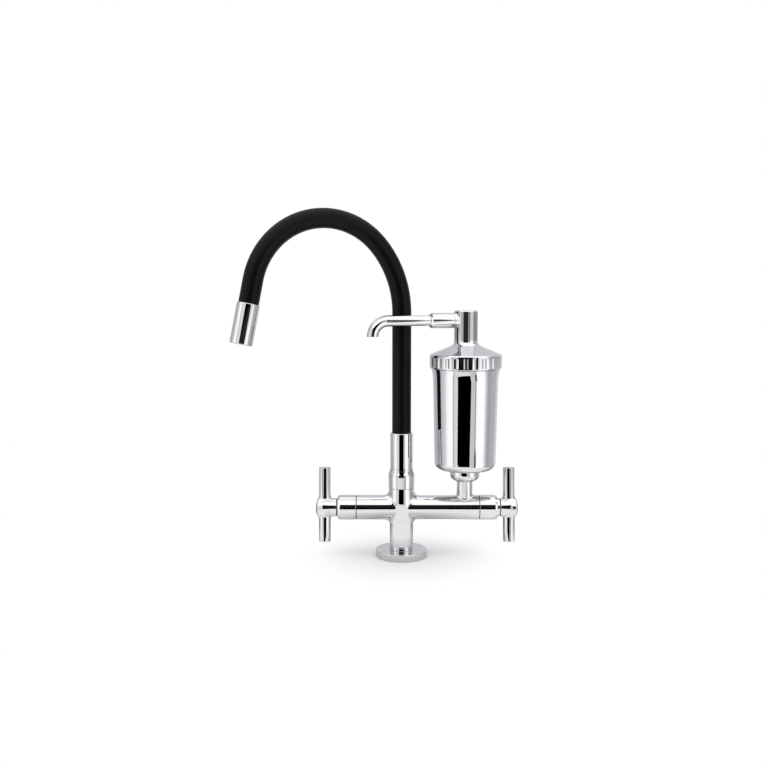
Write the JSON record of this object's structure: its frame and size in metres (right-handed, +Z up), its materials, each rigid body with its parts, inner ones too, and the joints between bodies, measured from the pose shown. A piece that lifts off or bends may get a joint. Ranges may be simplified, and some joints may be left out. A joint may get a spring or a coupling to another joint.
{
  "type": "flexible kitchen tap",
  "caption": "Deck-mounted kitchen tap with T-bar handles, a black flexible gooseneck spout, and a built-in water filter that has its own small spout.",
  "frame": {"origin": "centre of the flange's underside, on the deck that the tap stands on", "axes": "+Z up the column, +X along the arms towards the filter, -Y towards the user"},
  "size_m": [0.3061, 0.1277, 0.4417],
  "materials": {
    "chrome": "polished",
    "brass": "machined",
    "steel": "plain",
    "hose_rubber": "smooth matte",
    "seal_rubber": "matte",
    "disc": "lapped",
    "white_plastic": "moulded",
    "filter_media": "porous"
  },
  "bodies": {
    "tap_base": {"base_ring": "chrome", "cup_nut": "brass", "cup_seal": "seal_rubber", "deck_flange": "chrome", "deck_washer_rubber": "seal_rubber", "deck_washer_steel": "steel", "filter_base": "chrome", "filter_cup": "chrome", "flange_gasket": "seal_rubber", "left_bonnet": "chrome", "left_cartridge": "brass", "left_cartridge_seals": "seal_rubber", "left_fixed_disc": "disc", "mounting_nut": "brass", "mounting_shank": "brass", "right_bonnet": "chrome", "right_cartridge": "brass", "right_cartridge_seals": "seal_rubber", "right_fixed_disc": "disc", "right_gland_ring": "chrome", "swivel_nipple": "brass", "swivel_o_rings": "seal_rubber", "swivel_snap_ring": "steel", "tap_body": "chrome"},
    "left_handle": {"left_spindle": "steel", "left_moving_disc": "disc", "left_handle_hub": "chrome", "left_handle_bar": "chrome", "left_handle_screw": "steel"},
    "right_handle": {"right_spindle": "steel", "right_moving_disc": "disc", "right_handle_hub": "chrome", "right_handle_bar": "chrome", "right_handle_screw": "steel"},
    "spout": {"spout_ferrule": "chrome", "hose_lower_fitting": "brass", "hose_sleeve_riser": "hose_rubber"},
    "hose_lower": {"hose_sleeve_lower_bend": "hose_rubber", "hose_sleeve_lower_span": "hose_rubber", "gooseneck_core_lower": "steel", "water_tube_lower": "white_plastic"},
    "hose_upper": {"hose_sleeve_crown_bend": "hose_rubber", "hose_sleeve_upper_span": "hose_rubber", "gooseneck_core_crown": "steel", "water_tube_crown": "white_plastic"},
    "nozzle": {"hose_sleeve_outer_bend": "hose_rubber", "gooseneck_core_outer": "steel", "water_tube_outer": "white_plastic", "nozzle_fitting": "brass", "nozzle_shell": "chrome", "aerator_gasket": "seal_rubber", "aerator_housing": "white_plastic", "aerator_insert": "white_plastic"},
    "filter_cartridge": {"filter_element": "filter_media", "element_end_caps": "white_plastic"},
    "cap": {"filter_cap": "chrome", "spigot_o_ring": "seal_rubber", "filter_spout_collar": "chrome", "filter_spout_tube": "chrome"}
  },
  "joints": [
    {"name": "left_handle_turn", "type": "hinge", "parent": "tap_base", "child": "left_handle", "pos_m": [0, 0, 0.0553], "axis": [1, 0, 0], "range_deg": [0, 90]},
    {"name": "right_handle_turn", "type": "hinge", "parent": "tap_base", "child": "right_handle", "pos_m": [0, 0, 0.0553], "axis": [1, 0, 0], "range_deg": [0, 90]},
    {"name": "spout_swivel", "type": "hinge", "parent": "tap_base", "child": "spout", "pos_m": [0, 0, 0.09], "axis": [0, 0, 1], "continuous": true},
    {"name": "lower_bend", "type": "hinge", "parent": "spout", "child": "hose_lower", "pos_m": [-0.00664, -0.00309, 0.31109], "axis": [0.4226, -0.9063, 0], "range_deg": [-35, 15], "deforming": ["hose_sleeve_lower_bend", "gooseneck_core_lower", "water_tube_lower"]},
    {"name": "crown_bend", "type": "hinge", "parent": "hose_lower", "child": "hose_upper", "pos_m": [-0.07692, -0.03587, 0.37113], "axis": [0.4226, -0.9063, 0], "range_deg": [-50, 10], "deforming": ["hose_sleeve_crown_bend", "gooseneck_core_crown", "water_tube_crown"]},
    {"name": "outer_bend", "type": "hinge", "parent": "hose_upper", "child": "nozzle", "pos_m": [-0.14891, -0.06944, 0.31877], "axis": [0.4226, -0.9063, 0], "range_deg": [-40, 15], "deforming": ["hose_sleeve_outer_bend", "gooseneck_core_outer", "water_tube_outer"]},
    {"name": "cartridge_lift", "type": "slide", "parent": "tap_base", "child": "filter_cartridge", "axis": [0, 0, 1], "range_m": [0, 0.0054]},
    {"name": "cap_turn", "type": "hinge", "parent": "filter_cartridge", "child": "cap", "pos_m": [0.0705, 0, 0.218], "axis": [0, 0, 1], "range_deg": [0, 320]}
  ],
  "couplings": [
    {"joint": "cartridge_lift", "follows": "cap_turn", "m_per_rad": 0.00095493}
  ]
}
